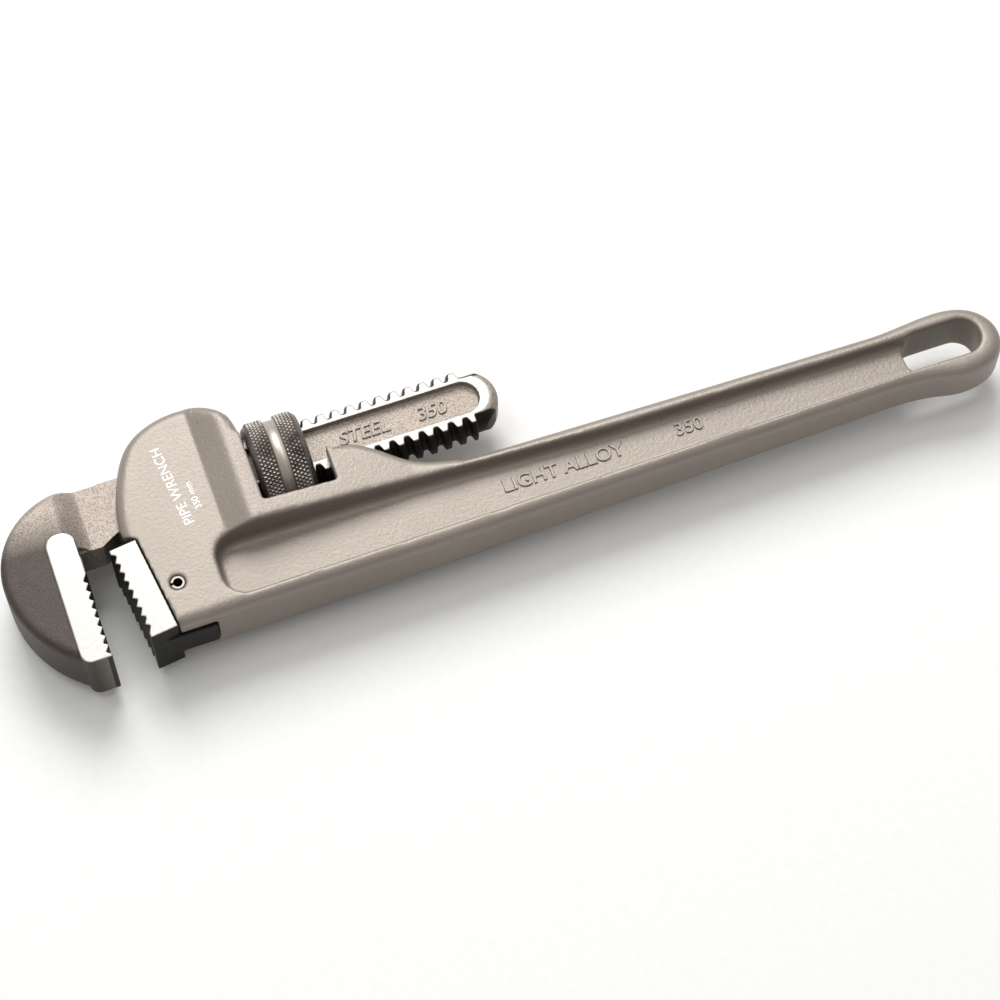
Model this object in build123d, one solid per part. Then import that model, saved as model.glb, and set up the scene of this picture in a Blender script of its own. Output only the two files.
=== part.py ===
"""Cast-alloy pipe wrench, nominal 350 mm, as separate solids.

The wrench lies flat on its side.  +X runs along the handle to the hanging hole,
+Y points to the back of the wrench, +Z is up through its thickness.  Each piece is
drawn about the screw axis (Y = 0, Z = 0 along X) and the whole set is moved last,
so that the origin is the bottom centre of the overall box.
"""
from build123d import *
from math import radians, sin, sqrt
import os

# ---- driving dimensions, millimetres ----------------------------------------------
# Screw: threaded shank of the hook jaw and the nut that runs on it
PITCH = 5.25             # thread pitch
SCREW_R = 12.3           # crest radius of the shank thread
THREAD_DEPTH = 2.1       # crest to root
CREST_WIDTH = 1.9        # axial width of a thread crest
ROOT_WIDTH = 1.5         # axial width of a thread root
SHANK_HALF = 6.9         # half thickness of the flat-sided shank
THREAD_START = -9.0      # X where the thread begins behind the neck
THREAD_LENGTH = 91.0
SHANK_TAIL = 10.5        # plain end behind the thread
THREAD_GAP = 0.32        # flank clearance between shank and nut thread
END_RELIEF = 0.2         # how far the shank's plain end lies below the thread root
END_OVER = 0.4           # how much wider than the thread root the rounded end is in plan
END_RIM_R = 3.3
RECESS_INSET = (5.0, 6.5)  # from the thread's start, and from the shank's end, to the side panel
RECESS_HALF = 6.2
RECESS_DEPTH = 2.6

# Nut
NUT_WALL = 4.6           # thread crest to knurl
NUT_FRONT = 4.9          # X of the front face
NUT_LENGTH = 19.0
NUT_GROOVE_DEPTH = 1.2
NUT_GROOVE_WIDTH = 4.0
NUT_CHAMFER = 1.8

# Handle casting: housing, nut window and grip
CHEEK_HALF = 12.9        # half thickness at the front edge of the housing
WAIST_HALF = 10.8        # half thickness where the housing has become the grip
TAIL_HALF = 9.2          # half thickness at the hanging hole
WAIST_X = 60.0
TAIL_X = 263.4           # X of the handle's far end
HOUSING_HEIGHT = 36.3    # channel floor to the belly edge under the housing
ROOF_WALL = 8.3          # metal over the leaf spring's seat
EDGE_R = 3.9             # cast outer edge radius
CROWN_EDGE_R = 3.0
NUT_PROUD = 0.6          # how far the nut stands out of the collar round its window
COLLAR_FALL = 3.0        # how much thinner the collar is at the window's back wall
COLLAR_RAMP = 2.24       # run of the ramp up to the collar for each mm of its rise
RAMP_FOOT = 1.6          # how far inside the cheek the ramp starts
COLLAR_LIP = 5.5         # collar crest to the window's front wall
COLLAR_RIDGE_R = 5.0
WEB_HALF = 3.6           # half thickness of the web between the two flanges
WEB_FILLET = 2.4
POCKET_CORNER_R = 7.6
POCKET_WALL = 1.6        # metal between the coil spring's pocket and the web pocket
REAR_WALL_TOP = -5.0     # Y of the top of the window's back wall
SHOULDER_SLOPE = 3.3967  # run of the shoulder for each mm that it falls to the grip
GRIP_DROP = 8.2          # channel floor to the top edge of the grip
LOOP_LENGTH = 45.4       # length of the hanging loop
LOOP_DROP = 21.4         # channel floor to the middle of the hanging loop
SLOT_LENGTH = 27.2
SLOT_HALF = 6.85
SLOT_WALL = 7.0          # metal behind the hanging slot

# Clearances of what the casting holds
NUT_END_GAP = 1.2        # nut to the window's front wall, which it bears on
NUT_BACK_ROOM = 5.6      # nut to the window's back wall
NUT_UNDER_ROOM = 1.1
SLIDE_GAP = 0.4          # side clearance of the shank in its channel
ROCK_ROOM = 2.9          # room under the shank for it to rock
SPRING_ROOM = 3.3        # room over the shank for the flat spring
TONGUE_GAP = 0.25        # clearance round the heel jaw's tongue
HEEL_GAP = 0.4           # gap between heel jaw and housing front
PIN_GAP = 0.02

# Hook jaw
JAW_INSET = 0.7          # how much thinner the forging is than the cheeks, each side
LAND_RISE = 0.35         # height of the ground land over the forging
JAW_OPENING = 9.4        # heel jaw's top corner to the hook jaw's teeth
HOOK_TOOTH_DROP = 7.7    # neck's belly to the first tooth
HOOK_REACH = 33.9        # length of the toothed stretch
HOOK_TOOTH_PITCH = 3.35
TOOTH_DEPTH = 1.5
HOOK_CROWN = 0.43914     # hook's outer radius from back to widest point, as a share of its height
HOOK_CHEEK = 0.64715     # its outer radius from there to the tip, as a share of its height
CROWN_BACK = 1.4         # tooth line to where the round crown starts on the neck's back
HOOK_EDGE_R = 3.0
LAND_WIDTH = 9.8
LAND_OVER = 14.7         # how far the land runs on above the first tooth
NECK_FRONT = 4.8         # tooth line to where the neck has come down to shank thickness
NECK_RISE = 14.4         # tooth line to where the neck's belly has risen to the shank
NECK_OVER = 0.3          # neck's back above the thread root
NECK_UNDER = 0.8         # neck's belly, along the shank, above the thread root
NECK_BULGE = 0.5         # neck's lowest point, in the throat, under the thread crest

# Heel jaw
HEEL_X = -50.0           # X of the toothed face's top corner
HEEL_DROP = 5.0          # neck's belly to that corner
HEEL_WIDTH = 9.6
HEEL_HEIGHT = 35.1
HEEL_TILT = 6.9          # degrees by which the block leans away from the hook
HEEL_INSET = 0.1         # how much thinner the block is than the cheeks, each side
HEEL_TOOTH_PITCH = 3.5
TONGUE_HALF = 5.9        # half thickness of the tongue held in the housing
TONGUE_LENGTH = 16.7     # from the block's back to the tongue's rear edge
TONGUE_DROP = 4.5        # toothed face's top corner to the tongue's top edge
TONGUE_FOOT = 0.8        # how far the tongue stands out under the belly
PIN_R = 2.65             # roll pin through housing and tongue
PIN_WALL = 1.05
PIN_BACK = 8.6           # from the block's back to the pin
PIN_DROP = 18.3          # from the toothed face's top corner down to the pin
PIN_SLIT = 0.9
PIN_INSET = 0.9          # how far each end of the pin lies inside the cheek

# Springs
LEAF_THICK = 0.9
LEAF_LENGTH = 25.0
LEAF_SETBACK = 5.7       # window's front wall to the leaf
LEAF_INSET = 1.4         # how much narrower the leaf is than the shank, each side
LEAF_RECESS = 2.4        # depth of the leaf's seat above the channel roof
RIVET_R = 1.6
RIVET_SETBACK = 3.5      # leaf's end to the rivet
RIVET_GRIP = 4.0
RIVET_HEAD_R = 2.8
COIL_SETBACK = 17.7      # window's front wall to the coil spring
COIL_R = 3.1             # mean radius
COIL_WIRE_R = 0.6
COIL_PITCH = 2.1
COIL_SIDE_GAP = 1.1
COIL_POCKET_DEPTH = 7.5
COIL_GAP = 0.5           # coil end to the crests passing over it

# ---- derived positions --------------------------------------------------------------
THREAD_END = THREAD_START + THREAD_LENGTH
SHANK_END = THREAD_END + SHANK_TAIL
ROOT_R = SCREW_R - THREAD_DEPTH
NUT_R = SCREW_R + NUT_WALL
NUT_REAR = NUT_FRONT + NUT_LENGTH
CHANNEL_HALF = SHANK_HALF + SLIDE_GAP
CHANNEL_FLOOR = -SCREW_R - ROCK_ROOM
CHANNEL_ROOF = SCREW_R + SPRING_ROOM
WINDOW = (NUT_FRONT - NUT_END_GAP, NUT_REAR + NUT_BACK_ROOM)
WINDOW_FLOOR = -NUT_R - NUT_UNDER_ROOM
BELLY_Y = CHANNEL_FLOOR - HOUSING_HEIGHT
CROWN_TOP = CHANNEL_ROOF + LEAF_RECESS + ROOF_WALL
GRIP_TOP = CHANNEL_FLOOR - GRIP_DROP
SHOULDER_LENGTH = SHOULDER_SLOPE * (REAR_WALL_TOP - GRIP_TOP)
LOOP_X = TAIL_X - LOOP_LENGTH
LOOP_Y = CHANNEL_FLOOR - LOOP_DROP
COLLAR_HALF = NUT_R - NUT_PROUD
COLLAR_CREST = WINDOW[0] - COLLAR_LIP
NECK_BACK = ROOT_R + NECK_OVER
NECK_BELLY = -SCREW_R - NECK_BULGE
JAW_HALF = CHEEK_HALF - JAW_INSET
HEEL_TOP = (HEEL_X, NECK_BELLY - HEEL_DROP)
HEEL_BACK = HEEL_X + HEEL_WIDTH
HEEL_HALF = CHEEK_HALF - HEEL_INSET
TONGUE_END = HEEL_BACK + TONGUE_LENGTH
TONGUE_TOP = HEEL_TOP[1] - TONGUE_DROP
PIN_AT = (HEEL_BACK + PIN_BACK, HEEL_TOP[1] - PIN_DROP)
HOOK_TOOTH_X = HEEL_X - JAW_OPENING
HOOK_TOOTH_TOP = NECK_BELLY - HOOK_TOOTH_DROP
HOOK_TIP_Y = HOOK_TOOTH_TOP - HOOK_REACH
HOOK_CROWN_R = HOOK_CROWN * (NECK_BACK - HOOK_TIP_Y)
HOOK_CHEEK_R = HOOK_CHEEK * (NECK_BACK - HOOK_TIP_Y)
CROWN_X = HOOK_TOOTH_X + CROWN_BACK
LEAF_SPAN = (WINDOW[0] - LEAF_SETBACK - LEAF_LENGTH, WINDOW[0] - LEAF_SETBACK)
LEAF_HALF = SHANK_HALF - LEAF_INSET
RIVET_X = LEAF_SPAN[1] - RIVET_SETBACK
LEAF_SEAT = CHANNEL_ROOF + LEAF_RECESS
COIL_X = WINDOW[0] - COIL_SETBACK
COIL_FLOOR = CHANNEL_FLOOR - COIL_POCKET_DEPTH
FAR = 90.0               # well outside the object's height and thickness, for cutting tools


def block(x, y, z):
    """A box between two X values, two Y values and two Z values."""
    middle = Pos(sum(x) / 2, sum(y) / 2, sum(z) / 2)
    return middle * Box(x[1] - x[0], y[1] - y[0], z[1] - z[0])


def plate(edges, half):
    """A closed plan outline made solid, evenly to both sides of the mid-plane."""
    return extrude(make_face(edges), half, both=True)


def side_shape(edges, y_low, y_high):
    """A closed outline drawn in X and thickness, extruded from one Y to another."""
    face = Plane.XZ * make_face(edges)
    return Pos(0, y_high, 0) * extrude(face, y_high - y_low)


def rod(radius, x0, x1):
    """A round bar on the screw axis."""
    return Pos((x0 + x1) / 2, 0, 0) * Rot(0, 90, 0) * Cylinder(radius, x1 - x0)


# ---- handle ---------------------------------------------------------------------------
def handle_outline():
    """Plan outline of the casting: housing, grip and hanging loop, window left out."""
    lean = HEEL_HEIGHT * sin(radians(HEEL_TILT))
    heel_back = HEEL_BACK + HEEL_GAP
    front_low = (heel_back + lean, BELLY_Y)
    front_high = (heel_back, HEEL_TOP[1] + 1.4)
    nose = (heel_back - 4.2, HEEL_TOP[1] + 3.8)
    brow = (nose[0] - 0.3, nose[1] + 5.0)
    roof_end = (WINDOW[0], 0.34 * CROWN_TOP)
    rear_wall = (WINDOW[1], REAR_WALL_TOP)
    grip_start = (WINDOW[1] + SHOULDER_LENGTH, GRIP_TOP)
    neck_top, neck_low = (LOOP_X, LOOP_Y + 11.3), (LOOP_X, LOOP_Y - 10.8)
    belly_bend = (WAIST_X, BELLY_Y + 0.6)
    spine_lean = (1.0, (neck_top[1] - grip_start[1]) / (neck_top[0] - grip_start[0]))
    belly_lean = (-1.0, (neck_low[1] - belly_bend[1]) / (belly_bend[0] - neck_low[0]))

    def crown(along, up):
        return brow[0] + along * (WINDOW[0] - brow[0]), up * CROWN_TOP

    def shoulder(along, down):
        fall = rear_wall[1] - grip_start[1]
        return rear_wall[0] + along * SHOULDER_LENGTH, rear_wall[1] - down * fall

    return [
        Line(front_high, nose),
        Line(nose, brow),
        Spline(brow, crown(0.077, 0.236), crown(0.234, 0.738), crown(0.55, 1.0),
               crown(0.778, 0.958), crown(0.936, 0.722), roof_end,
               tangents=((0.1, 1.0), (0.15, -1.0))),
        Line(roof_end, rear_wall),
        Spline(rear_wall, shoulder(0.104, 0.0), shoulder(0.28, 0.32), shoulder(0.456, 0.739),
               shoulder(0.648, 0.924), grip_start, tangents=((1.0, 0.06), spine_lean)),
        Line(grip_start, neck_top),
        Spline(neck_top, (TAIL_X - 22.4, LOOP_Y + 12.8), (TAIL_X - 6.1, LOOP_Y + 9.6),
               (TAIL_X, LOOP_Y), (TAIL_X - 3.8, LOOP_Y - 10.0), (TAIL_X - 14.4, LOOP_Y - 13.7),
               neck_low, tangents=(spine_lean, belly_lean)),
        Line(neck_low, belly_bend),
        Line(belly_bend, front_low),
        Line(front_low, front_high),
    ]


def round_rims(solid, radius, keep):
    """Round the edges between the broad faces and those plan walls that keep() picks."""
    broad = [f for f in solid.faces() if abs(f.normal_at(f.center()).Z) > 0.8]
    rims = ShapeList()
    for face in broad:
        rims += face.outer_wire().edges()
    return fillet(rims.filter_by(lambda e: keep(e @ 0.5)), radius)


def grip_body():
    """Housing and grip at their tapering base thickness, edges rounded."""
    front, rear = HEEL_X, TAIL_X + 6.6
    top = ThreePointArc((front, CHEEK_HALF), (WAIST_X, WAIST_HALF), (rear, TAIL_HALF))
    low = ThreePointArc((front, -CHEEK_HALF), (WAIST_X, -WAIST_HALF), (rear, -TAIL_HALF))
    ends = [Line(low @ 0, top @ 0), Line(top @ 1, low @ 1)]
    taper = side_shape([top, low] + ends, -FAR, FAR)
    blank = plate(handle_outline(), FAR) & taper

    def rounded(p):
        in_window = WINDOW[0] < p.X < WINDOW[1] and p.Y > WINDOW_FLOOR
        at_front = p.X < HEEL_BACK + 5 and p.Y < HEEL_TOP[1] + 7.8
        return not in_window and not at_front
    return round_rims(blank, EDGE_R, rounded)


def collar_body():
    """Thickened collar round the nut window, ramping up from the housing's cheeks."""
    drop = COLLAR_FALL / (WINDOW[1] - COLLAR_CREST)
    run_out = COLLAR_CREST + (COLLAR_HALF - WAIST_HALF + 1.5) / drop
    foot = CHEEK_HALF - RAMP_FOOT
    ramp_start = COLLAR_CREST - COLLAR_RAMP * (COLLAR_HALF - foot)
    upper = [(ramp_start, foot), (COLLAR_CREST, COLLAR_HALF),
             (run_out, WAIST_HALF - 1.5)]
    lower = [(x, -z) for x, z in reversed(upper)]
    profile = side_shape(Polyline(*upper, *lower, close=True), CHANNEL_FLOOR - 14.8, FAR)
    blank = plate(handle_outline(), FAR) & profile

    ridge = [e for e in blank.edges().filter_by(Axis.Y) if abs(e.center().X - COLLAR_CREST) < 0.3]
    blank = fillet(ridge, COLLAR_RIDGE_R)
    blank = round_rims(blank, CROWN_EDGE_R, lambda p: p.X < WINDOW[0] - 0.1 and p.Y > 0)

    def on_shoulder(p):
        return WINDOW[1] < p.X < run_out - 2 and p.Y > WINDOW_FLOOR - 5
    return round_rims(blank, EDGE_R, on_shoulder)


def pocket_tool():
    """Removes one side's pocket between the flanges, down to the web."""
    front, rear = TONGUE_END + 6.5, TAIL_X - 30.0
    roof = COIL_FLOOR - POCKET_WALL
    bends = [(WAIST_X - 10, roof - 1.3), (2 * WAIST_X, roof - 4.5)]
    corners = [(front, roof), *bends, (rear, LOOP_Y + 6.2),
               (rear, LOOP_Y - 6.6), (front, BELLY_Y + 4.7)]
    face = make_face(Polyline(*corners, close=True))
    face = fillet([v for v in face.vertices() if front + 1 < v.X < rear - 1], 150.0)
    face = fillet([v for v in face.vertices() if v.X < front + 1], POCKET_CORNER_R)
    tool = extrude(Pos(0, 0, WEB_HALF) * face, FAR)
    floor = tool.faces().sort_by(Axis.Z)[0]
    return fillet(floor.outer_wire().edges(), WEB_FILLET)


def hanging_slot():
    """Through slot of the hanging loop, in line with the pockets."""
    middle = TAIL_X - SLOT_WALL - SLOT_LENGTH / 2
    face = Pos(middle, LOOP_Y + 0.15) * Rectangle(SLOT_LENGTH, 2 * SLOT_HALF)
    face = fillet([v for v in face.vertices() if v.X > middle], SLOT_HALF - 0.25)
    face = fillet([v for v in face.vertices() if v.X < middle], SLOT_HALF - 1.35)
    return extrude(face, FAR, both=True)


def shank_channel():
    """Passage for the shank between the cheeks, with the leaf spring's seat in its roof."""
    passage = block((-FAR, FAR), (CHANNEL_FLOOR, CHANNEL_ROOF), (-CHANNEL_HALF, CHANNEL_HALF))
    seat_x = (LEAF_SPAN[0] - 1.5, LEAF_SPAN[1] + 1.5)
    seat_half = LEAF_HALF + SLIDE_GAP
    seat = block(seat_x, (CHANNEL_ROOF - 1, LEAF_SEAT), (-seat_half, seat_half))
    return passage + seat


def tongue_slot():
    """Slot for the heel jaw's tongue, open to the front and to the belly."""
    half = TONGUE_HALF + TONGUE_GAP
    return block((-FAR, TONGUE_END + TONGUE_GAP), (-FAR, TONGUE_TOP + TONGUE_GAP), (-half, half))


def build_handle():
    """The casting: body, pockets, nut window, shank channel and the holes in it."""
    body = grip_body() + collar_body()
    pocket = pocket_tool()
    body -= pocket
    body -= mirror(pocket, Plane.XY)
    body -= hanging_slot()
    body -= block(WINDOW, (WINDOW_FLOOR, FAR), (-FAR, FAR))
    body -= shank_channel()
    body -= tongue_slot()
    body -= heel_block(HEEL_GAP)
    body -= Pos(*PIN_AT, 0) * Cylinder(PIN_R + PIN_GAP, 2 * FAR)
    coil_side = COIL_R + COIL_WIRE_R + COIL_SIDE_GAP
    body -= upright(COIL_X, coil_side, COIL_FLOOR, CHANNEL_FLOOR + 1)
    body -= upright(RIVET_X, RIVET_R + PIN_GAP, CHANNEL_ROOF, LEAF_SEAT + RIVET_GRIP + PIN_GAP)
    return body


def upright(x, radius, y0, y1):
    """A round bar standing along Y in the mid-plane."""
    return Pos(x, (y0 + y1) / 2, 0) * Rot(90, 0, 0) * Cylinder(radius, y1 - y0)


# ---- heel jaw -------------------------------------------------------------------------
def heel_block(grow=0.0):
    """The toothed block without its teeth, leaning back from the hook jaw."""
    blank = block((-grow, HEEL_WIDTH + grow), (-HEEL_HEIGHT - grow, grow),
                  (-HEEL_HALF - grow, HEEL_HALF + grow))
    return Pos(*HEEL_TOP, 0) * Rot(0, 0, HEEL_TILT) * blank


def saw_teeth(count, pitch, depth, skew, half):
    """Cutting tool for a row of teeth down the Y axis, notches reaching to +X."""
    points = [(-1.0, 0.0)]
    for i in range(count):
        top = -i * pitch
        points += [(0.0, top), (depth, top - skew * pitch)]
    points += [(0.0, -count * pitch), (-1.0, -count * pitch)]
    return plate(Polyline(*points, close=True), half)


def build_heel_jaw():
    """Toothed block with the tongue that the roll pin holds in the housing."""
    count = int((HEEL_HEIGHT - 1.5) / HEEL_TOOTH_PITCH)
    start = (HEEL_HEIGHT - count * HEEL_TOOTH_PITCH) / 2
    teeth = Pos(0, -start, 0) * saw_teeth(count, HEEL_TOOTH_PITCH, TOOTH_DEPTH, 0.3, FAR)
    jaw = heel_block() - Pos(*HEEL_TOP, 0) * Rot(0, 0, HEEL_TILT) * teeth
    tongue = block((HEEL_BACK - HEEL_WIDTH / 2, TONGUE_END), (BELLY_Y - TONGUE_FOOT, TONGUE_TOP),
                   (-TONGUE_HALF, TONGUE_HALF))
    behind = Pos(*HEEL_TOP, 0) * Rot(0, 0, HEEL_TILT) * block(
        (HEEL_WIDTH / 2, FAR), (-FAR, FAR), (-FAR, FAR))
    jaw += tongue & behind
    return jaw - Pos(*PIN_AT, 0) * Cylinder(PIN_R + PIN_GAP, 2 * FAR)


def build_heel_jaw_pin():
    """Slotted roll pin, flush with the housing's cheeks."""
    length = 2 * (CHEEK_HALF - PIN_INSET)
    pin = Cylinder(PIN_R, length)
    pin = chamfer(pin.edges().filter_by(GeomType.CIRCLE), 0.4)
    pin -= Cylinder(PIN_R - PIN_WALL, length + 2)
    pin -= Pos(-PIN_R, 0, 0) * Box(2 * PIN_R, PIN_SLIT, length + 2)
    return Pos(*PIN_AT, 0) * pin


# ---- hook jaw -------------------------------------------------------------------------
def helix_solid(radii, widths, x0, turns):
    """A trapezoid swept along the thread: width widths[0] at radii[0], widths[1] at radii[1]."""
    middle = sum(radii) / 2
    path = Pos(x0, 0, 0) * Rot(0, 90, 0) * Helix(PITCH, turns * PITCH, middle)
    lead = path % 0
    start = path @ 0
    outward = Vector(0, start.Y, start.Z).normalized()
    section_plane = Plane(origin=start, x_dir=outward, z_dir=lead)
    low, high = radii[0] - middle, radii[1] - middle
    a, b = widths[0] / 2, widths[1] / 2
    section = section_plane * make_face(Polyline((low, -a), (high, -b), (high, b), (low, a), close=True))
    return sweep(section, path, is_frenet=True)


def flank_width(radius):
    """Axial width of the shank's thread groove at a radius."""
    top_width = PITCH - CREST_WIDTH
    share = (radius - ROOT_R) / THREAD_DEPTH
    return ROOT_WIDTH + (top_width - ROOT_WIDTH) * share


def hook_head():
    """The hook itself at full thickness, from its tip round to the neck."""
    widest = (CROWN_X - HOOK_CROWN_R, NECK_BACK - HOOK_CROWN_R)
    cheek_x = widest[0] + HOOK_CHEEK_R
    tip_x = cheek_x - sqrt(HOOK_CHEEK_R ** 2 - (HOOK_TIP_Y - widest[1]) ** 2)
    mid_y = (widest[1] + HOOK_TIP_Y) / 2
    cheek_mid = (cheek_x - sqrt(HOOK_CHEEK_R ** 2 - (mid_y - widest[1]) ** 2), mid_y)
    corner = HOOK_CROWN_R * sin(radians(45))
    crown_mid = (CROWN_X - corner, widest[1] + corner)
    throat = (HOOK_TOOTH_X + 0.4, HOOK_TOOTH_TOP + 4.0)
    outline = [
        ThreePointArc((CROWN_X, NECK_BACK), crown_mid, widest),
        ThreePointArc(widest, cheek_mid, (tip_x, HOOK_TIP_Y)),
        Line((tip_x, HOOK_TIP_Y), (HOOK_TOOTH_X, HOOK_TIP_Y)),
        Line((HOOK_TOOTH_X, HOOK_TIP_Y), throat),
        ThreePointArc(throat, (throat[0] + 0.9, NECK_BELLY + 1.1), (throat[0] + 3.0, NECK_BELLY)),
        Line((throat[0] + 3.0, NECK_BELLY), (CROWN_X + 3.0, NECK_BELLY)),
        Line((CROWN_X + 3.0, NECK_BELLY), (CROWN_X + 3.0, NECK_BACK)),
        Line((CROWN_X + 3.0, NECK_BACK), (CROWN_X, NECK_BACK)),
    ]
    blank = plate(outline, JAW_HALF)

    def outside(p):
        return p.X < HOOK_TOOTH_X - 3 and p.Y > HOOK_TIP_Y + 0.1 or p.X > CROWN_X - 4 and p.Y > 0
    return round_rims(blank, HOOK_EDGE_R, outside)


def hook_neck():
    """Thin neck from the hook head to the start of the thread."""
    x0, x1 = HOOK_TOOTH_X - 4.0, THREAD_START + PITCH
    rise, under = HOOK_TOOTH_X + NECK_RISE, NECK_UNDER - ROOT_R
    outline = [
        Line((x0, NECK_BACK), (x1, NECK_BACK)),
        Line((x1, NECK_BACK), (x1, under)),
        Line((x1, under), (rise, under)),
        ThreePointArc((rise, under), (rise - 3.6, under - 0.56 * (under - NECK_BELLY)),
                      (rise - 6.0, NECK_BELLY)),
        Line((rise - 6.0, NECK_BELLY), (x0, NECK_BELLY)),
        Line((x0, NECK_BELLY), (x0, NECK_BACK)),
    ]
    return plate(outline, SHANK_HALF)


def neck_blend():
    """Side profile that takes the head's thickness down to the neck's."""
    start, stop = CROWN_X - 5.0, HOOK_TOOTH_X + NECK_FRONT
    step = JAW_HALF - SHANK_HALF
    upper = [
        Line((-FAR * 2, JAW_HALF), (start, JAW_HALF)),
        ThreePointArc((start, JAW_HALF), (start + 1.9, SHANK_HALF + step * 0.8),
                      ((start + stop) / 2, SHANK_HALF + step / 2)),
        ThreePointArc(((start + stop) / 2, SHANK_HALF + step / 2),
                      (stop - 1.9, SHANK_HALF + step * 0.2), (stop, SHANK_HALF)),
        Line((stop, SHANK_HALF), (FAR * 2, SHANK_HALF)),
    ]
    lower = [mirror(e, Plane.XY.rotated((90, 0, 0))) for e in upper]
    ends = [Line((-FAR * 2, -JAW_HALF), (-FAR * 2, JAW_HALF)),
            Line((FAR * 2, SHANK_HALF), (FAR * 2, -SHANK_HALF))]
    return side_shape(upper + lower + ends, -FAR * 2, FAR)


def ground_land():
    """Ground land beside the teeth, standing a little proud of both forging faces."""
    x0 = HOOK_TOOTH_X - LAND_WIDTH
    y0, y1 = HOOK_TIP_Y, HOOK_TOOTH_TOP + LAND_OVER
    face = Pos((x0 + HOOK_TOOTH_X) / 2, (y0 + y1) / 2) * Rectangle(LAND_WIDTH, y1 - y0)
    face = fillet([v for v in face.vertices() if v.Y > y1 - 1], LAND_WIDTH / 2 - 0.6)
    face = fillet([v for v in face.vertices() if v.Y < y0 + 1 and v.X < x0 + 1], 3.6)
    return extrude(face, JAW_HALF + LAND_RISE, both=True)


def threaded_shank():
    """Round screw with a real helix, cut to the shank's flat sides and recessed in them."""
    turns = (THREAD_END - THREAD_START) / PITCH + 1
    reach = SCREW_R + 0.8
    groove = helix_solid((ROOT_R, reach), (ROOT_WIDTH, flank_width(reach)), THREAD_START, turns)
    bar = rod(SCREW_R, THREAD_START, SHANK_END) - groove
    bar -= (rod(SCREW_R + 1, THREAD_END, SHANK_END + 1)
            - rod(ROOT_R - END_RELIEF, THREAD_END - 1, SHANK_END + 2))
    sides = block((THREAD_START - 1, SHANK_END + 1), (-FAR, FAR), (-SHANK_HALF, SHANK_HALF))
    return bar & sides & end_dome()


def end_dome():
    """Form that rounds the shank's rear end in plan and softens its rims."""
    radius = ROOT_R + END_OVER
    middle = SHANK_END - radius
    cap = Cylinder(radius, 2 * SHANK_HALF)
    cap = fillet(cap.edges().filter_by(GeomType.CIRCLE), END_RIM_R)
    return block((-FAR * 2, middle), (-FAR, FAR), (-FAR, FAR)) + Pos(middle, 0, 0) * cap


def side_recess():
    """Shallow round-ended panel sunk in one flat side of the shank."""
    x0, x1 = THREAD_START + RECESS_INSET[0], SHANK_END - RECESS_INSET[1]
    face = Pos((x0 + x1) / 2, 0) * SlotOverall(x1 - x0, 2 * RECESS_HALF)
    tool = extrude(Pos(0, 0, SHANK_HALF - RECESS_DEPTH) * face, FAR)
    return fillet(tool.faces().sort_by(Axis.Z)[0].outer_wire().edges(), 0.8)


def build_hook_jaw():
    """Forged hook jaw: head, blended neck, threaded shank, teeth and ground land."""
    jaw = (hook_head() + hook_neck()) & (neck_blend() + head_keep())
    jaw += ground_land()
    count = int((HOOK_TOOTH_TOP - HOOK_TIP_Y - 1.0) / HOOK_TOOTH_PITCH)
    teeth = saw_teeth(count, HOOK_TOOTH_PITCH, TOOTH_DEPTH, 0.7, FAR)
    start = HOOK_TIP_Y + 1.0 + count * HOOK_TOOTH_PITCH
    jaw -= Pos(HOOK_TOOTH_X, start, 0) * mirror(teeth, Plane.YZ)
    jaw += threaded_shank()
    recess = side_recess()
    jaw -= recess
    return jaw - mirror(recess, Plane.XY)


def head_keep():
    """Region of the head that keeps its full thickness: everything below the neck."""
    return block((-FAR * 2, HOOK_TOOTH_X + 1.6), (-FAR, NECK_BELLY - 1.5), (-JAW_HALF, JAW_HALF))


# ---- adjusting nut --------------------------------------------------------------------
def build_adjusting_nut():
    """Knurled nut: two bands with a plain groove between, bored and threaded."""
    nut = rod(NUT_R, NUT_FRONT, NUT_REAR)
    nut = chamfer(nut.edges().filter_by(GeomType.CIRCLE), NUT_CHAMFER)
    middle = (NUT_FRONT + NUT_REAR) / 2
    groove = (middle - NUT_GROOVE_WIDTH / 2, middle + NUT_GROOVE_WIDTH / 2)
    nut -= rod(NUT_R + 1, *groove) - rod(NUT_R - NUT_GROOVE_DEPTH, *groove)
    bore = SCREW_R + THREAD_GAP
    nut -= rod(bore, NUT_FRONT - 1, NUT_REAR + 1)
    lead_in = -PITCH * (int((NUT_FRONT - THREAD_START) / PITCH))
    start = THREAD_START - lead_in - PITCH
    inner, outer = ROOT_R + THREAD_GAP, bore + 0.5
    widths = (flank_width(inner) - 2 * THREAD_GAP, flank_width(outer) - 2 * THREAD_GAP)
    turns = (NUT_REAR - start) / PITCH + 1
    ridge = helix_solid((inner, outer), widths, start, turns)
    return nut + (ridge & rod(bore + 0.4, NUT_FRONT + 0.5, NUT_REAR - 0.5))


# ---- springs --------------------------------------------------------------------------
def build_flat_spring():
    """Bowed leaf under the housing roof that presses on the back of the shank."""
    top = LEAF_SEAT
    x0, x1 = LEAF_SPAN
    flat_from = RIVET_X - RIVET_HEAD_R
    bow = ((x0 + flat_from) / 2, top - LEAF_RECESS - 0.2)
    upper = [Line((x1, top), (flat_from, top)), ThreePointArc((flat_from, top), bow, (x0, top))]
    lower = [Pos(0, -LEAF_THICK) * e for e in upper]
    ends = [Line((x1, top), (x1, top - LEAF_THICK)), Line((x0, top), (x0, top - LEAF_THICK))]
    leaf = plate(upper + lower + ends, LEAF_HALF)
    return leaf - upright(RIVET_X, RIVET_R + PIN_GAP, 0, FAR)


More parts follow.
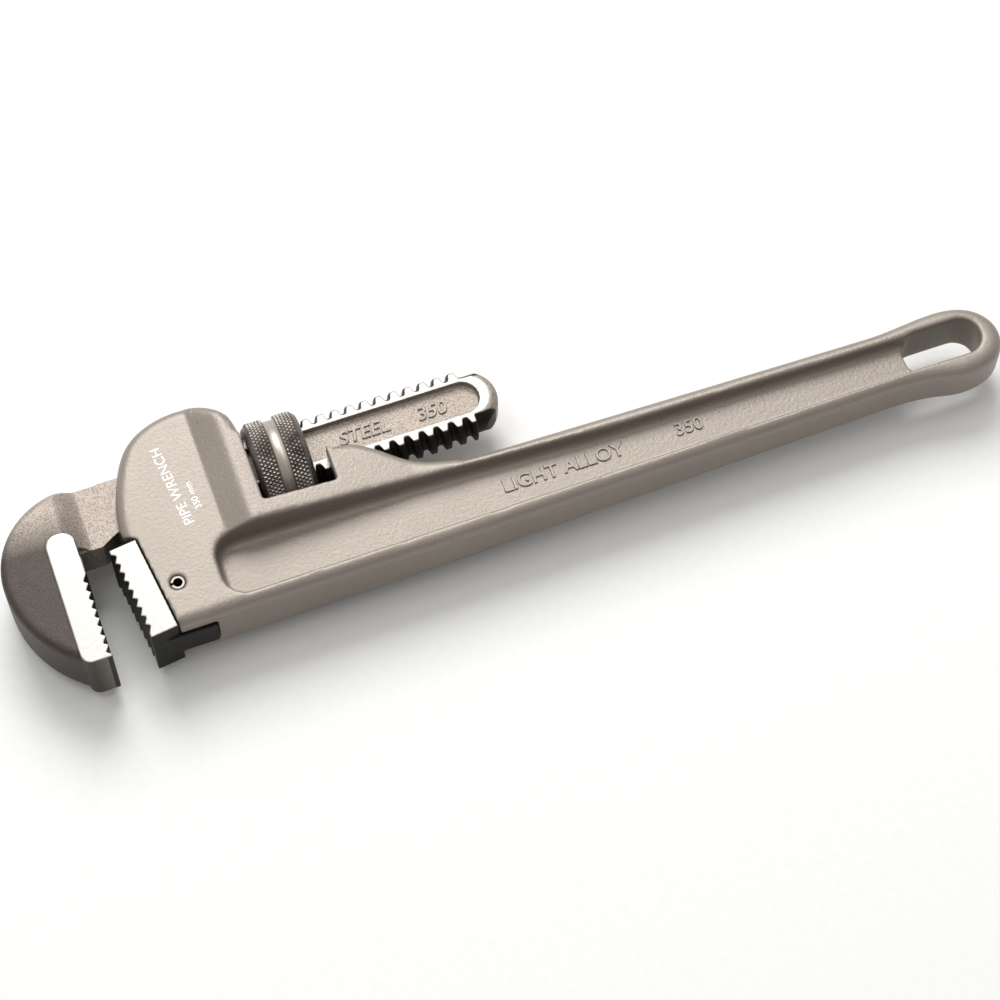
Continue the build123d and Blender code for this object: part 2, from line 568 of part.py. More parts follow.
def build_spring_rivet():
    """Rivet that holds the leaf to the roof, its head under the leaf."""
    under = LEAF_SEAT - LEAF_THICK
    shaft = upright(RIVET_X, RIVET_R, under, LEAF_SEAT + RIVET_GRIP)
    return shaft + upright(RIVET_X, RIVET_HEAD_R, under - 1.0, under)


def build_coil_spring():
    """Coil spring that stands in the channel floor and pushes the shank up."""
    low = COIL_FLOOR + 0.4 + COIL_WIRE_R
    high = -SCREW_R - COIL_GAP - COIL_WIRE_R
    path = Helix(COIL_PITCH, high - low, COIL_R)
    wire = sweep(Plane(origin=path @ 0, z_dir=path % 0) * Circle(COIL_WIRE_R), path, is_frenet=True)
    return Pos(COIL_X, low, 0) * Rot(-90, 0, 0) * wire


PIECES = {
    "handle": build_handle,
    "heel_jaw": build_heel_jaw,
    "heel_jaw_pin": build_heel_jaw_pin,
    "hook_jaw": build_hook_jaw,
    "adjusting_nut": build_adjusting_nut,
    "flat_spring": build_flat_spring,
    "spring_rivet": build_spring_rivet,
    "coil_spring": build_coil_spring,
}


def build_all():
    """Every piece about the screw axis, then moved to the box's bottom centre."""
    pieces = {name: build() for name, build in PIECES.items()}
    box = Compound(children=[Compound(p.solids()) for p in pieces.values()]).bounding_box()
    move = Pos(-box.center().X, -box.center().Y, -box.min.Z)
    print("screw axis lies at", tuple(round(v, 4) for v in move.position))
    return {name: move * piece for name, piece in pieces.items()}


if __name__ == "__main__":
    os.makedirs("parts", exist_ok=True)
    for name, piece in build_all().items():
        export_step(piece, f"parts/{name}.step")
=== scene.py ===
import bpy
from math import cos, pi, radians, sin
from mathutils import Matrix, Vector


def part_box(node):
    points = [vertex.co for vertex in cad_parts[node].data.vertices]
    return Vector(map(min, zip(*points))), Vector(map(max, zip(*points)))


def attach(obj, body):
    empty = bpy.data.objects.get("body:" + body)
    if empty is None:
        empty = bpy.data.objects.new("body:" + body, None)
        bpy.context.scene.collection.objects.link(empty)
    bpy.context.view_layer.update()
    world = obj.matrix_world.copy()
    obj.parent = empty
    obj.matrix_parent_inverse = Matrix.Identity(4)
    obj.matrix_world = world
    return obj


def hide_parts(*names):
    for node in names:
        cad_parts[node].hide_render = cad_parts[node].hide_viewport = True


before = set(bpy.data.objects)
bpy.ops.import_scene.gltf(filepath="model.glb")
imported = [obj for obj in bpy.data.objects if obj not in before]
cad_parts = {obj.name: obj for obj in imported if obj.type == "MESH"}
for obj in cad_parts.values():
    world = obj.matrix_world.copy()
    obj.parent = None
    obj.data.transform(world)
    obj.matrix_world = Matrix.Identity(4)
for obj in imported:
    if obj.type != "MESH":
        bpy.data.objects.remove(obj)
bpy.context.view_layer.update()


# ---- Handle: one light-alloy casting, shot-blasted and then coated in a warm grey.  The
# mould leaves every edge soft, and the coat dries with a fine orange peel and a few specks.
MM = 0.001
LOW, HIGH, MIXED = 6, 7, 2   # a colour mix's two input sockets and its output socket
nut_low, nut_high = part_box("adjusting_nut")
NUT_FRONT_X = 4.9        # mm, the nut's front face from the origin of the screw axis
screw_axis = Vector((nut_low.x - NUT_FRONT_X * MM, (nut_low.y + nut_high.y) / 2,
                     (nut_low.z + nut_high.z) / 2))


def at(x, y, z=0.0):
    """A point given in mm about the screw axis, in the frame's metres."""
    return screw_axis + Vector((x, y, z)) * MM


def linear(code):
    """A sRGB hex colour as linear RGBA."""
    parts = [int(code[i:i + 2], 16) / 255 for i in (1, 3, 5)]
    return [c / 12.92 if c <= 0.04045 else ((c + 0.055) / 1.055) ** 2.4 for c in parts] + [1.0]


def add(tree, kind, inputs=None, **settings):
    """A shader node with its settings, its inputs set to values or linked to sockets."""
    node = tree.nodes.new("ShaderNode" + kind)
    for name, value in settings.items():
        setattr(node, name, value)
    for name, value in (inputs or {}).items():
        if isinstance(value, bpy.types.NodeSocket):
            tree.links.new(value, node.inputs[name])
        else:
            node.inputs[name].default_value = value
    return node


def start(name):
    """A new material's empty node tree, and the socket that gives a point's place on its piece."""
    material = bpy.data.materials.new(name)
    material.use_nodes = True
    material.node_tree.nodes.clear()
    return material, material.node_tree, add(material.node_tree, "TexCoord").outputs["Object"]


def apply_modifiers(piece):
    """Turn what the modifiers make of a piece into its own mesh."""
    result = piece.evaluated_get(bpy.context.evaluated_depsgraph_get())
    piece.data = bpy.data.meshes.new_from_object(result)
    piece.modifiers.clear()


def recast(node, name, grid, passes, softer=None, more=0):
    """A copy of a CAD node on an even surface mesh, its edges softened as the process leaves
    them, with more passes where softer() says so of a point in mm about the screw axis."""
    piece = bpy.data.objects.new(name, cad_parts[node].data.copy())
    bpy.context.scene.collection.objects.link(piece)
    even = piece.modifiers.new("even", "REMESH")
    even.mode = "VOXEL"
    even.voxel_size = grid * MM
    even.use_smooth_shade = True
    soften = piece.modifiers.new("soften", "SMOOTH")
    soften.iterations = passes
    apply_modifiers(piece)
    if softer:
        chosen = [v.index for v in piece.data.vertices if softer((v.co - screw_axis) / MM)]
        piece.vertex_groups.new(name="softer").add(chosen, 1.0, "REPLACE")
        melt = piece.modifiers.new("melt", "SMOOTH")
        melt.iterations = more
        melt.vertex_group = "softer"
        apply_modifiers(piece)
        piece.vertex_groups.clear()
    piece.data.materials.clear()
    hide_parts(node)
    return piece


# Satin two-layer coat over blasted alloy: warm light grey with a slight metal glint, cloudy
# over centimetres, peel of 1.2 mm, pits of 0.3 mm, and dark specks of shop dirt here and there.
coat, tree, place = start("warm_grey_coat_on_alloy")
clouds = add(tree, "TexNoise", {"Vector": place, "Scale": 1 / (23.81 * MM), "Detail": 3.0})
tone = add(tree, "Mix", {"Factor": clouds.outputs["Fac"], LOW: linear("#837a72"),
                         HIGH: linear("#91887f")}, data_type="RGBA")
dirt = add(tree, "TexNoise", {"Vector": place, "Scale": 1 / (1.282 * MM), "Detail": 2.0})
speck = add(tree, "MapRange", {"Value": dirt.outputs["Fac"], "From Min": 0.69, "From Max": 0.76,
                               "To Max": 0.55})
spotted = add(tree, "Mix", {"Factor": speck.outputs["Result"], LOW: tone.outputs[MIXED],
                            HIGH: linear("#5f574e")}, data_type="RGBA")
gloss = add(tree, "MapRange", {"Value": clouds.outputs["Fac"], "To Min": 0.36, "To Max": 0.52})
peel = add(tree, "TexNoise", {"Vector": place, "Scale": 1 / (1.2195 * MM), "Detail": 3.0, "Roughness": 0.6})
pits = add(tree, "TexNoise", {"Vector": place, "Scale": 1 / (0.3125 * MM), "Detail": 1.0})
peel_bump = add(tree, "Bump", {"Height": peel.outputs["Fac"], "Distance": 0.22 * MM, "Strength": 0.6})
pit_bump = add(tree, "Bump", {"Height": pits.outputs["Fac"], "Distance": 0.09 * MM,
                              "Strength": 0.6, "Normal": peel_bump.outputs["Normal"]})
surface = add(tree, "BsdfPrincipled", {"Base Color": spotted.outputs[MIXED], "Metallic": 0.45,
                                       "Roughness": gloss.outputs["Result"],
                                       "Normal": pit_bump.outputs["Normal"]})
add(tree, "OutputMaterial", {"Surface": surface.outputs["BSDF"]})


def draughted(p):
    """The rims of the web pockets, the flanges and the collar, which the mould rounds most."""
    rim = p.y < -19.5 and p.x > -22 and abs(p.z) > 4.2
    ridge = -9 < p.x < 1.5 and abs(p.z) > 10
    return rim or ridge


handle = recast("handle", "handle_casting", 0.5, 4, draughted, 34)
handle.data.materials.append(coat)
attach(handle, "frame")


# ---- Raised casting marks: a material word and a size in the web's floor, cast in one with
# the handle and coated with it, so their edges are as soft as the rest.
WEB_FLOOR = 3.6          # mm from the mid-plane


def letters(text, name, height, corner, z, raise_by, material, turn=0.0, under=False, lean=0.0,
            soft=0.16):
    """Generic raised letters: their lower left corner in mm, and how far they stand up."""
    curve = bpy.data.curves.new(name, "FONT")
    curve.body = text
    curve.size = height * 1.36 * MM
    curve.shear = lean
    curve.extrude = raise_by * MM
    curve.bevel_depth = soft * MM
    curve.bevel_resolution = 2
    curve.materials.append(material)
    drawn = bpy.data.objects.new(name, curve)
    bpy.context.scene.collection.objects.link(drawn)
    drawn.location = at(*corner, z)
    drawn.rotation_euler = (pi if under else 0.0, 0.0, turn)
    bpy.context.view_layer.update()
    mesh = bpy.data.meshes.new_from_object(drawn)
    mesh.transform(drawn.matrix_world)
    bpy.data.objects.remove(drawn)
    piece = bpy.data.objects.new(name, mesh)
    bpy.context.scene.collection.objects.link(piece)
    return piece


for mark in (letters("LIGHT ALLOY", "web_mark_word", 5.2, (82.0, -37.6), WEB_FLOOR, 0.4, coat),
             letters("350", "web_mark_size", 5.0, (144.5, -37.2), WEB_FLOOR, 0.4, coat),
             letters("PIPE WRENCH", "web_mark_under", 5.2, (82.0, -32.0), -WEB_FLOOR, 0.4, coat,
                     under=True)):
    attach(mark, "frame")


# ---- Printed mark on the housing's face: white pad-printed ink, two lines that read towards
# the back of the wrench.  The ink is a thin skin that follows the casting's slight curve.
INK = 0.03               # mm, half thickness of the ink skin

ink, tree, place = start("white_pad_print_ink")
worn = add(tree, "TexNoise", {"Vector": place, "Scale": 1 / (0.66667 * MM), "Detail": 3.0})
shade = add(tree, "Mix", {"Factor": worn.outputs["Fac"], LOW: linear("#e4e0da"),
                          HIGH: linear("#ffffff")}, data_type="RGBA")
skin = add(tree, "Bump", {"Height": worn.outputs["Fac"], "Distance": 0.02 * MM, "Strength": 0.3})
surface = add(tree, "BsdfPrincipled", {"Base Color": shade.outputs[MIXED], "Roughness": 0.4,
                                       "Normal": skin.outputs["Normal"]})
add(tree, "OutputMaterial", {"Surface": surface.outputs["BSDF"]})


def printed(text, name, height, corner):
    """Ink letters laid on the housing's upper face, as a closed skin that follows it."""
    skin = letters(text, name, height, corner, 20.0, 0.5, ink, turn=radians(96), soft=0.0)
    middle = at(0, 0, 20.0).z
    for vertex in skin.data.vertices:
        above = Vector((vertex.co.x, vertex.co.y, middle))
        hit, point, _, _ = handle.ray_cast(above, (0, 0, -1))
        side = 1.0 if vertex.co.z > middle else -1.0
        vertex.co.z = point.z + side * INK * MM
    return skin


bpy.context.view_layer.update()
for mark in (printed("PIPE WRENCH", "print_line_large", 3.6, (-20.0, -17.0)),
             printed("350 mm", "print_line_small", 2.4, (-16.0, -12.5))):
    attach(mark, "frame")


# ---- Hook jaw: drop-forged alloy steel, shot-blasted to a brown-grey grain.  The land beside
# the teeth and the flats of the shank are ground bright; teeth and rear end are blackened.
LAND_Z = 12.38           # mm from the mid-plane, only the ground land is as high
FLAT_Z = 6.82            # the same for the ground flats along the thread
TOOTH_LINE_X = -59.4

forged, tree, place = start("forged_steel_with_ground_lands")
local = add(tree, "VectorMath", {0: place, 1: screw_axis}, operation="SUBTRACT")
axes = add(tree, "SeparateXYZ", {"Vector": local.outputs["Vector"]})
height = add(tree, "Math", {0: axes.outputs["Z"]}, operation="ABSOLUTE")
grain = add(tree, "TexNoise", {"Vector": place, "Scale": 1 / (0.66667 * MM), "Detail": 4.0,
                               "Roughness": 0.65})
patches = add(tree, "TexNoise", {"Vector": place, "Scale": 1 / (9.091 * MM), "Detail": 4.0})
scale_tone = add(tree, "Mix", {"Factor": patches.outputs["Fac"], LOW: linear("#a0958b"),
                               HIGH: linear("#b0a59c")}, data_type="RGBA")
pepper = add(tree, "MapRange", {"Value": grain.outputs["Fac"], "From Min": 0.56, "From Max": 0.36,
                                "To Max": 0.6})
peppered = add(tree, "Mix", {"Factor": pepper.outputs["Result"], LOW: scale_tone.outputs[MIXED],
                             HIGH: linear("#4a443e")}, data_type="RGBA")
# Painted shade: the forging on the hook's own face is darkened towards −Y and towards the hook's end (−X),
# where that face turns away from the light; the neck keeps its plain forged colour.
shade_towards_minus_y = add(tree, "MapRange", {"Value": axes.outputs["Y"], "From Min": 4 * MM, "From Max": -10 * MM,
                                  "To Max": 0.88})
on_hook = add(tree, "MapRange", {"Value": axes.outputs["X"], "From Min": -54 * MM, "From Max": -66 * MM})
painted_shade_on_hook = add(tree, "Math", {0: shade_towards_minus_y.outputs[0], 1: on_hook.outputs[0]}, operation="MULTIPLY")
# the forged colour with the painted shade on the hook's face mixed in
forging = add(tree, "Mix", {"Factor": painted_shade_on_hook.outputs[0], LOW: peppered.outputs[MIXED],
                            HIGH: linear("#332e2a")}, data_type="RGBA")
# Grinding: straight scratches 0.11 mm apart, drawn coarser than real so that they show.
SCRATCH_LENGTH, SCRATCH_APART = 3.33333 * MM, 0.111111 * MM
stretched = add(tree, "Mapping", {"Vector": place, "Scale": (
    1 / SCRATCH_LENGTH, 1 / SCRATCH_APART, 1 / SCRATCH_LENGTH)})
scratches = add(tree, "TexNoise", {"Vector": stretched.outputs["Vector"], "Scale": 1.0, "Detail": 2.0})
bright = add(tree, "Mix", {"Factor": scratches.outputs["Fac"], LOW: linear("#6e6b67"),
                           HIGH: linear("#aeaba6")}, data_type="RGBA")
on_land = add(tree, "MapRange", {"Value": height.outputs[0], "From Min": (LAND_Z - 0.06) * MM,
                                 "From Max": LAND_Z * MM})
on_flat = add(tree, "MapRange", {"Value": height.outputs[0], "From Min": (FLAT_Z - 0.06) * MM,
                                 "From Max": FLAT_Z * MM})
past_neck = add(tree, "MapRange", {"Value": axes.outputs["X"], "From Min": -9.5 * MM,
                                   "From Max": -9.0 * MM})
flat_here = add(tree, "Math", {0: on_flat.outputs[0], 1: past_neck.outputs[0]}, operation="MULTIPLY")
ground = add(tree, "Math", {0: on_land.outputs[0], 1: flat_here.outputs[0]}, operation="MAXIMUM")
# Black oxide: on the thread and rear end, and on the tooth flanks behind the tooth line.
thread_side = add(tree, "MapRange", {"Value": height.outputs[0], "From Min": FLAT_Z * MM,
                                     "From Max": (FLAT_Z - 0.12) * MM})
across = add(tree, "Math", {0: axes.outputs["Y"]}, operation="ABSOLUTE")
off_panel = add(tree, "MapRange", {"Value": across.outputs[0], "From Min": 6.6 * MM,
                                   "From Max": 7.2 * MM})
thread_here = add(tree, "Math", {0: thread_side.outputs[0], 1: off_panel.outputs[0]}, operation="MULTIPLY")
thread_black = add(tree, "Math", {0: thread_here.outputs[0], 1: past_neck.outputs[0]}, operation="MULTIPLY")
below_neck = add(tree, "MapRange", {"Value": axes.outputs["Y"], "From Min": -19 * MM,
                                    "From Max": -20 * MM})
at_teeth = add(tree, "MapRange", {"Value": axes.outputs["X"], "From Min": (TOOTH_LINE_X - 1.9) * MM,
                                  "From Max": (TOOTH_LINE_X - 1.5) * MM})
off_land = add(tree, "Math", {0: 1.0, 1: on_land.outputs[0]}, operation="SUBTRACT")
tooth_here = add(tree, "Math", {0: below_neck.outputs[0], 1: at_teeth.outputs[0]}, operation="MULTIPLY")
tooth_black = add(tree, "Math", {0: tooth_here.outputs[0], 1: off_land.outputs[0]}, operation="MULTIPLY")
black = add(tree, "Math", {0: thread_black.outputs[0], 1: tooth_black.outputs[0]}, operation="MAXIMUM")
base = add(tree, "Mix", {"Factor": ground.outputs[0], LOW: forging.outputs[MIXED],
                         HIGH: bright.outputs[MIXED]}, data_type="RGBA")
finished = add(tree, "Mix", {"Factor": black.outputs[0], LOW: base.outputs[MIXED],
                             HIGH: linear("#2b2825")}, data_type="RGBA")
rough_forging = add(tree, "MapRange", {"Value": grain.outputs["Fac"], "To Min": 0.42, "To Max": 0.62})
roughness = add(tree, "MapRange", {"Value": ground.outputs[0], "To Min": rough_forging.outputs[0],
                                   "To Max": 0.36})
relief = add(tree, "MapRange", {"Value": ground.outputs[0], "To Min": 0.75, "To Max": 0.05})
grain_bump = add(tree, "Bump", {"Height": grain.outputs["Fac"], "Distance": 0.35 * MM,
                                "Strength": relief.outputs[0]})
scratch_bump = add(tree, "Bump", {"Height": scratches.outputs["Fac"], "Distance": 0.03 * MM,
                                  "Strength": ground.outputs[0],
                                  "Normal": grain_bump.outputs["Normal"]})
surface = add(tree, "BsdfPrincipled", {"Base Color": finished.outputs[MIXED], "Metallic": 0.8,
                                       "Roughness": roughness.outputs[0],
                                       "Normal": scratch_bump.outputs["Normal"]})
add(tree, "OutputMaterial", {"Surface": surface.outputs["BSDF"]})


def rolled_off(p):
    """The forging's own edges; the ground land, the teeth and the thread stay crisp."""
    beside_land = p.x < -71.2 or p.y > -4.6
    return p.x < -47.0 and beside_land and abs(p.z) > 4.0


hook = recast("hook_jaw", "hook_jaw_forging", 0.28, 3, rolled_off, 60)
hook.data.materials.append(forged)
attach(hook, "hook")

PANEL_FLOOR = 4.3        # mm, the side panel's floor from the mid-plane
for mark in (letters("STEEL", "shank_mark_word", 5.2, (35.5, -2.2), PANEL_FLOOR, 0.45, forged, lean=0.2),
             letters("350", "shank_mark_size", 5.2, (63.5, -2.2), PANEL_FLOOR, 0.45, forged, lean=0.2)):
    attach(mark, "hook")


# ---- Adjusting nut: turned steel with two knurled bands and a plain groove between them,
# bored and threaded.  The knurl is rolled in, then the nut is blackened; use polishes the tips.
NUT_R = 16.9             # mm, over the knurl's tips
NUT_LENGTH = 19.0
NUT_CHAMFER = 1.8
GROOVE_R = 15.7
GROOVE_WIDTH = 4.0
NUT_BORE_R = 12.62
RIDGE_TIP_R = 10.52
RIDGE_PITCH = 5.25
RIDGE_PHASE = 8.13       # mm from the screw axis's origin to the ridge on the +Y side
KNURLS = 70              # diamonds round the nut
KNURL_AXIAL = 2.2        # mm from diamond to diamond along the nut
KNURL_DEPTH = 0.55
COLUMNS = KNURLS * 8
KNURL_STEP = KNURL_AXIAL / 12


def triangle(phase):
    """0 at whole numbers and 1 halfway between them."""
    return 1.0 - abs(2.0 * (phase % 1.0) - 1.0)


def knurled(x, turn, radius):
    """The rolled surface: the lower of two crossing sets of ridges."""
    along, around = x / KNURL_AXIAL, turn * KNURLS
    ridge = min(triangle(around + along), triangle(around - along))
    return radius - KNURL_DEPTH * (1.0 - min(1.0, 1.25 * ridge))


def bored(x, turn, radius):
    """The threaded bore: the ridge's radius where it passes, else the plain bore."""
    if not 0.5 < x < NUT_LENGTH - 0.5:
        return radius
    offset = (x + NUT_FRONT_X - RIDGE_PHASE - RIDGE_PITCH * turn) / RIDGE_PITCH
    away = abs(offset - round(offset)) * RIDGE_PITCH
    rise = min(1.0, max(0.0, (1.49 - away) / 0.92))
    return radius - (radius - RIDGE_TIP_R) * rise


def plain(x, turn, radius):
    """A turned surface with nothing rolled or cut in it."""
    return radius


def steps(x0, x1, step):
    """Places from x0 to x1, evenly spread and about a step apart."""
    count = max(1, round((x1 - x0) / step))
    return [x0 + (x1 - x0) * i / count for i in range(count + 1)]


groove_x = ((NUT_LENGTH - GROOVE_WIDTH) / 2, (NUT_LENGTH + GROOVE_WIDTH) / 2)
rings = [(0.0, NUT_BORE_R + 0.7, plain), (0.0, NUT_R - NUT_CHAMFER - 0.15, plain),
         (0.08, NUT_R - NUT_CHAMFER, plain)]
rings += [(NUT_CHAMFER - 0.5, NUT_R - 0.65, plain)]
rings += [(x, NUT_R, knurled) for x in steps(NUT_CHAMFER, groove_x[0] - 0.35, KNURL_STEP)]
rings += [(groove_x[0] - 0.1, NUT_R - 0.45, plain), (groove_x[0], GROOVE_R + 0.35, plain),
          (groove_x[0] + 0.35, GROOVE_R, plain), (groove_x[1] - 0.35, GROOVE_R, plain),
          (groove_x[1], GROOVE_R + 0.35, plain), (groove_x[1] + 0.1, NUT_R - 0.45, plain)]
rings += [(x, NUT_R, knurled) for x in steps(groove_x[1] + 0.35, NUT_LENGTH - NUT_CHAMFER, KNURL_STEP)]
rings += [(NUT_LENGTH - NUT_CHAMFER + 0.5, NUT_R - 0.65, plain),
          (NUT_LENGTH - 0.08, NUT_R - NUT_CHAMFER, plain),
          (NUT_LENGTH, NUT_R - NUT_CHAMFER - 0.15, plain), (NUT_LENGTH, NUT_BORE_R + 0.7, plain)]
rings += [(x, NUT_BORE_R, bored) for x in reversed(steps(0.4, NUT_LENGTH - 0.4, 0.3))]
points, faces, smooth = [], [], []
for x, radius, surface_of in rings:
    for column in range(COLUMNS):
        turn = column / COLUMNS
        r = surface_of(x, turn, radius)
        points.append(at(NUT_FRONT_X + x, r * cos(2 * pi * turn), r * sin(2 * pi * turn)))
for row in range(len(rings)):
    following = (row + 1) % len(rings)
    rolled = rings[row][2] is knurled or rings[following][2] is knurled
    for column in range(COLUMNS):
        beside = (column + 1) % COLUMNS
        faces.append((row * COLUMNS + column, row * COLUMNS + beside,
                      following * COLUMNS + beside, following * COLUMNS + column))
        smooth.append(not rolled)
mesh = bpy.data.meshes.new("adjusting_nut_knurled")
mesh.from_pydata(points, [], faces)
mesh.polygons.foreach_set("use_smooth", smooth)
nut = bpy.data.objects.new("adjusting_nut_knurled", mesh)
bpy.context.scene.collection.objects.link(nut)

# Black oxide over turned steel, worn to bright metal on the tips of the diamonds and thin in
# the plain groove, where the turning lines show through, drawn at a coarse 0.14 mm feed.
oxide, tree, place = start("black_oxide_worn_on_tips")
local = add(tree, "VectorMath", {0: place, 1: screw_axis}, operation="SUBTRACT")
radial = add(tree, "VectorMath", {0: local.outputs["Vector"], 1: (0.0, 1.0, 1.0)}, operation="MULTIPLY")
radius = add(tree, "VectorMath", {0: radial.outputs["Vector"]}, operation="LENGTH")
smudge = add(tree, "TexNoise", {"Vector": place, "Scale": 1 / (3.8462 * MM), "Detail": 4.0})
tip = add(tree, "MapRange", {"Value": radius.outputs["Value"], "From Min": (NUT_R - 0.36) * MM,
                             "From Max": (NUT_R - 0.06) * MM})
worn = add(tree, "MapRange", {"Value": smudge.outputs["Fac"], "From Min": 0.3, "From Max": 0.6})
bare = add(tree, "Math", {0: tip.outputs[0], 1: worn.outputs[0]}, operation="MULTIPLY")
along = add(tree, "SeparateXYZ", {"Vector": local.outputs["Vector"]})
from_middle = add(tree, "Math", {0: along.outputs["X"], 1: (NUT_FRONT_X + NUT_LENGTH / 2) * MM},
                  operation="SUBTRACT")
distance = add(tree, "Math", {0: from_middle.outputs[0]}, operation="ABSOLUTE")
in_groove = add(tree, "MapRange", {"Value": distance.outputs[0], "From Min": 2.05 * MM,
                                   "From Max": 1.9 * MM})
LATHE_FEED, LATHE_LENGTH = 0.142857 * MM, 16.66667 * MM
turned = add(tree, "Mapping", {"Vector": place, "Scale": (
    1 / LATHE_FEED, 1 / LATHE_LENGTH, 1 / LATHE_LENGTH)})
lathe = add(tree, "TexNoise", {"Vector": turned.outputs["Vector"], "Scale": 1.0, "Detail": 2.0})
dark = add(tree, "Mix", {"Factor": smudge.outputs["Fac"], LOW: linear("#4a4540"),
                         HIGH: linear("#7d756d")}, data_type="RGBA")
thin = add(tree, "Mix", {"Factor": lathe.outputs["Fac"], LOW: linear("#8d857c"),
                         HIGH: linear("#c2bab0")}, data_type="RGBA")
body = add(tree, "Mix", {"Factor": in_groove.outputs[0], LOW: dark.outputs[MIXED],
                         HIGH: thin.outputs[MIXED]}, data_type="RGBA")
tipped = add(tree, "Mix", {"Factor": bare.outputs[0], LOW: body.outputs[MIXED],
                           HIGH: linear("#d2cdc6")}, data_type="RGBA")
roughness = add(tree, "MapRange", {"Value": smudge.outputs["Fac"], "To Min": 0.3, "To Max": 0.5})
lathe_bump = add(tree, "Bump", {"Height": lathe.outputs["Fac"], "Distance": 0.02 * MM, "Strength": 0.5})
surface = add(tree, "BsdfPrincipled", {"Base Color": tipped.outputs[MIXED], "Metallic": 0.85,
                                       "Roughness": roughness.outputs[0],
                                       "Normal": lathe_bump.outputs["Normal"]})
add(tree, "OutputMaterial", {"Surface": surface.outputs["BSDF"]})
mesh.materials.append(oxide)
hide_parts("adjusting_nut")
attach(nut, "nut")


# ---- Heel jaw: a toothed steel block held in the housing by its tongue.  It is hardened and
# blackened, and then its two side faces are ground bright and flush with the cheeks.
HEEL_SIDE_Z = 12.75      # mm from the mid-plane, only the ground sides are as high

heel_steel, tree, place = start("hardened_steel_ground_sides")
local = add(tree, "VectorMath", {0: place, 1: screw_axis}, operation="SUBTRACT")
axes = add(tree, "SeparateXYZ", {"Vector": local.outputs["Vector"]})
height = add(tree, "Math", {0: axes.outputs["Z"]}, operation="ABSOLUTE")
side = add(tree, "MapRange", {"Value": height.outputs[0], "From Min": (HEEL_SIDE_Z - 0.12) * MM,
                              "From Max": (HEEL_SIDE_Z - 0.04) * MM})
HEEL_SCRATCH = 3.8462 * MM
stretched = add(tree, "Mapping", {"Vector": place, "Scale": (
    1 / SCRATCH_APART, 1 / HEEL_SCRATCH, 1 / HEEL_SCRATCH)})
scratches = add(tree, "TexNoise", {"Vector": stretched.outputs["Vector"], "Scale": 1.0, "Detail": 2.0})
bright = add(tree, "Mix", {"Factor": scratches.outputs["Fac"], LOW: linear("#6e6b67"),
                           HIGH: linear("#aeaba6")}, data_type="RGBA")
bloom = add(tree, "TexNoise", {"Vector": place, "Scale": 1 / (2.0 * MM), "Detail": 4.0})
dark = add(tree, "Mix", {"Factor": bloom.outputs["Fac"], LOW: linear("#0f0e0d"),
                         HIGH: linear("#26231f")}, data_type="RGBA")
base = add(tree, "Mix", {"Factor": side.outputs[0], LOW: dark.outputs[MIXED],
                         HIGH: bright.outputs[MIXED]}, data_type="RGBA")
roughness = add(tree, "MapRange", {"Value": side.outputs[0], "To Min": 0.45, "To Max": 0.36})
bloom_bump = add(tree, "Bump", {"Height": bloom.outputs["Fac"], "Distance": 0.06 * MM, "Strength": 0.4})
scratch_bump = add(tree, "Bump", {"Height": scratches.outputs["Fac"], "Distance": 0.03 * MM,
                                  "Strength": side.outputs[0],
                                  "Normal": bloom_bump.outputs["Normal"]})
surface = add(tree, "BsdfPrincipled", {"Base Color": base.outputs[MIXED], "Metallic": 0.85,
                                       "Roughness": roughness.outputs[0],
                                       "Normal": scratch_bump.outputs["Normal"]})
add(tree, "OutputMaterial", {"Surface": surface.outputs["BSDF"]})

heel = recast("heel_jaw", "heel_jaw_block", 0.25, 2)
heel.data.materials.append(heel_steel)
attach(heel, "frame")


# ---- Roll pin, springs and rivet: rolled, wound or headed from bright spring steel and left
# with a thin blue-grey temper film.  Their CAD shapes stay and take this finish.
temper, tree, place = start("tempered_spring_steel")
film = add(tree, "TexNoise", {"Vector": place, "Scale": 1 / (1.66667 * MM), "Detail": 3.0})
shade = add(tree, "Mix", {"Factor": film.outputs["Fac"], LOW: linear("#5d5a58"),
                          HIGH: linear("#98938d")}, data_type="RGBA")
roughness = add(tree, "MapRange", {"Value": film.outputs["Fac"], "To Min": 0.28, "To Max": 0.48})
drawn = add(tree, "Bump", {"Height": film.outputs["Fac"], "Distance": 0.03 * MM, "Strength": 0.3})
surface = add(tree, "BsdfPrincipled", {"Base Color": shade.outputs[MIXED], "Metallic": 1.0,
                                       "Roughness": roughness.outputs[0],
                                       "Normal": drawn.outputs["Normal"]})
add(tree, "OutputMaterial", {"Surface": surface.outputs["BSDF"]})
for node in ("heel_jaw_pin", "flat_spring", "spring_rivet", "coil_spring"):
    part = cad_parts[node]
    part.data.materials.clear()
    part.data.materials.append(temper)


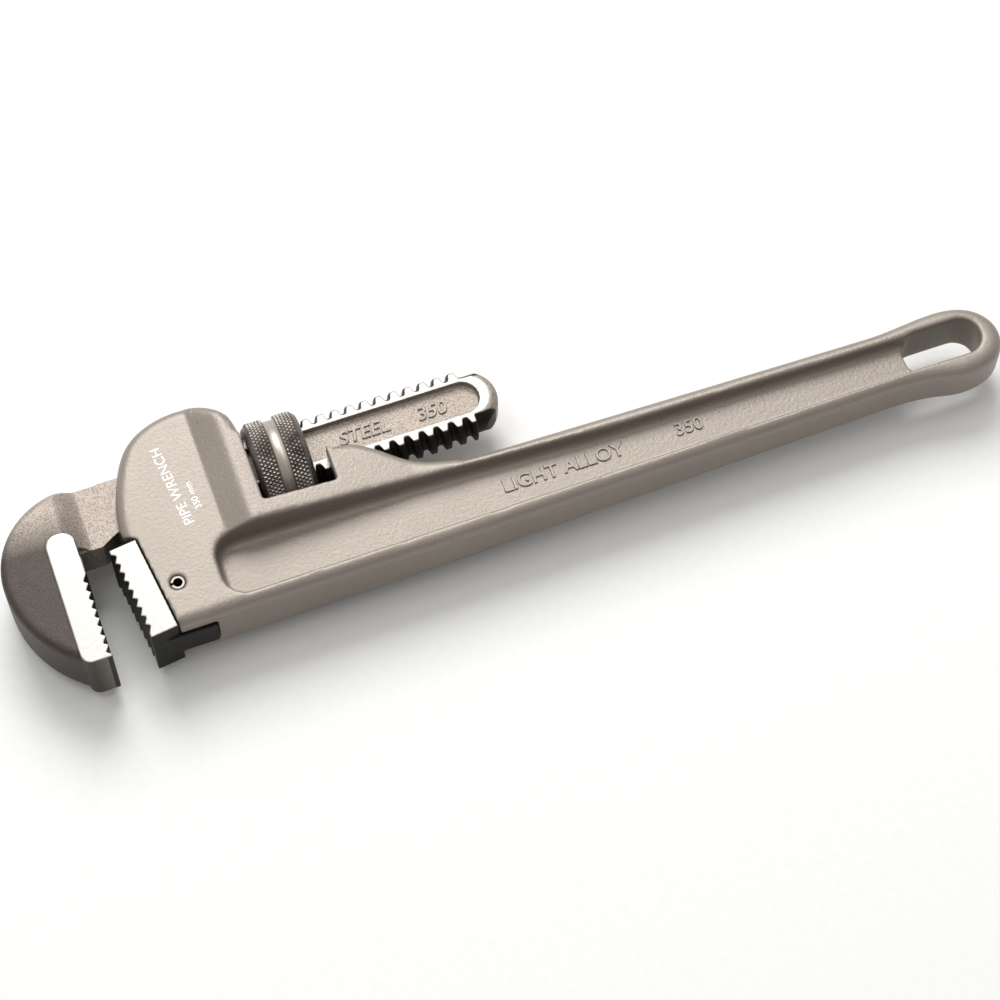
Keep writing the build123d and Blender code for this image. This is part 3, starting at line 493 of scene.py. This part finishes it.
# ---- Studio: a pale sweep under the wrench, a large soft light behind and above it, and a
# weak fill, so the side walls that face the viewer fall darker than the upper faces.
SWEEP = 6.0              # m, floor's edge length
paper, tree, place = start("pale_studio_floor")
fibre = add(tree, "TexNoise", {"Vector": place, "Scale": 1 / (3.33333 * MM), "Detail": 2.0})
tint = add(tree, "Mix", {"Factor": fibre.outputs["Fac"], LOW: linear("#dcdcdb"),
                         HIGH: linear("#e2e2e1")}, data_type="RGBA")
surface = add(tree, "BsdfPrincipled", {"Base Color": tint.outputs[MIXED], "Roughness": 0.85})
add(tree, "OutputMaterial", {"Surface": surface.outputs["BSDF"]})
mesh = bpy.data.meshes.new("studio_floor")
half = SWEEP / 2
mesh.from_pydata([(-half, -half, 0), (half, -half, 0), (half, half, 0), (-half, half, 0)], [], [(0, 1, 2, 3)])
mesh.materials.append(paper)
floor = bpy.data.objects.new("studio_floor", mesh)
bpy.context.scene.collection.objects.link(floor)


def softbox(name, place, aim, size, watts):
    """A square area light at a place in metres, facing a point."""
    light = bpy.data.lights.new(name, "AREA")
    light.size = size
    light.energy = watts
    lamp = bpy.data.objects.new(name, light)
    lamp.location = place
    lamp.rotation_euler = (Vector(aim) - Vector(place)).to_track_quat("-Z", "Y").to_euler()
    bpy.context.scene.collection.objects.link(lamp)


softbox("key", (0.1, 0.9, 1.15), (0, 0, 0), 0.8, 19.0)
softbox("top", (-0.5, 0.2, 1.6), (0, 0, 0), 0.7, 4.5)
world = bpy.data.worlds.new("studio")
world.use_nodes = True
sky = world.node_tree
lit_side = add(sky, "SeparateXYZ", {"Vector": add(sky, "TexCoord").outputs["Generated"]})
rising = add(sky, "Math", {0: lit_side.outputs["Y"], 1: lit_side.outputs["Z"]}, operation="ADD")
fall = add(sky, "MapRange", {"Value": rising.outputs[0], "From Min": -0.6, "From Max": 1.3,
                             "To Min": 0.42, "To Max": 0.85})
sky.nodes["Background"].inputs["Color"].default_value = linear("#fbfaf8")
sky.links.new(fall.outputs[0], sky.nodes["Background"].inputs["Strength"])
bpy.context.scene.world = world
bpy.context.scene.view_settings.view_transform = "Standard"

camera = bpy.data.cameras.new("camera")
camera.lens = 104.4
camera.sensor_width = 36.0
viewer = bpy.data.objects.new("camera", camera)
viewer.location = (-0.1582, -0.4389, 0.8924)
gaze = Vector((-0.0083, -0.0240, 0.0169)) - viewer.location
viewer.rotation_euler = gaze.to_track_quat("-Z", "Y").to_euler()
bpy.context.scene.collection.objects.link(viewer)
bpy.context.scene.camera = viewer
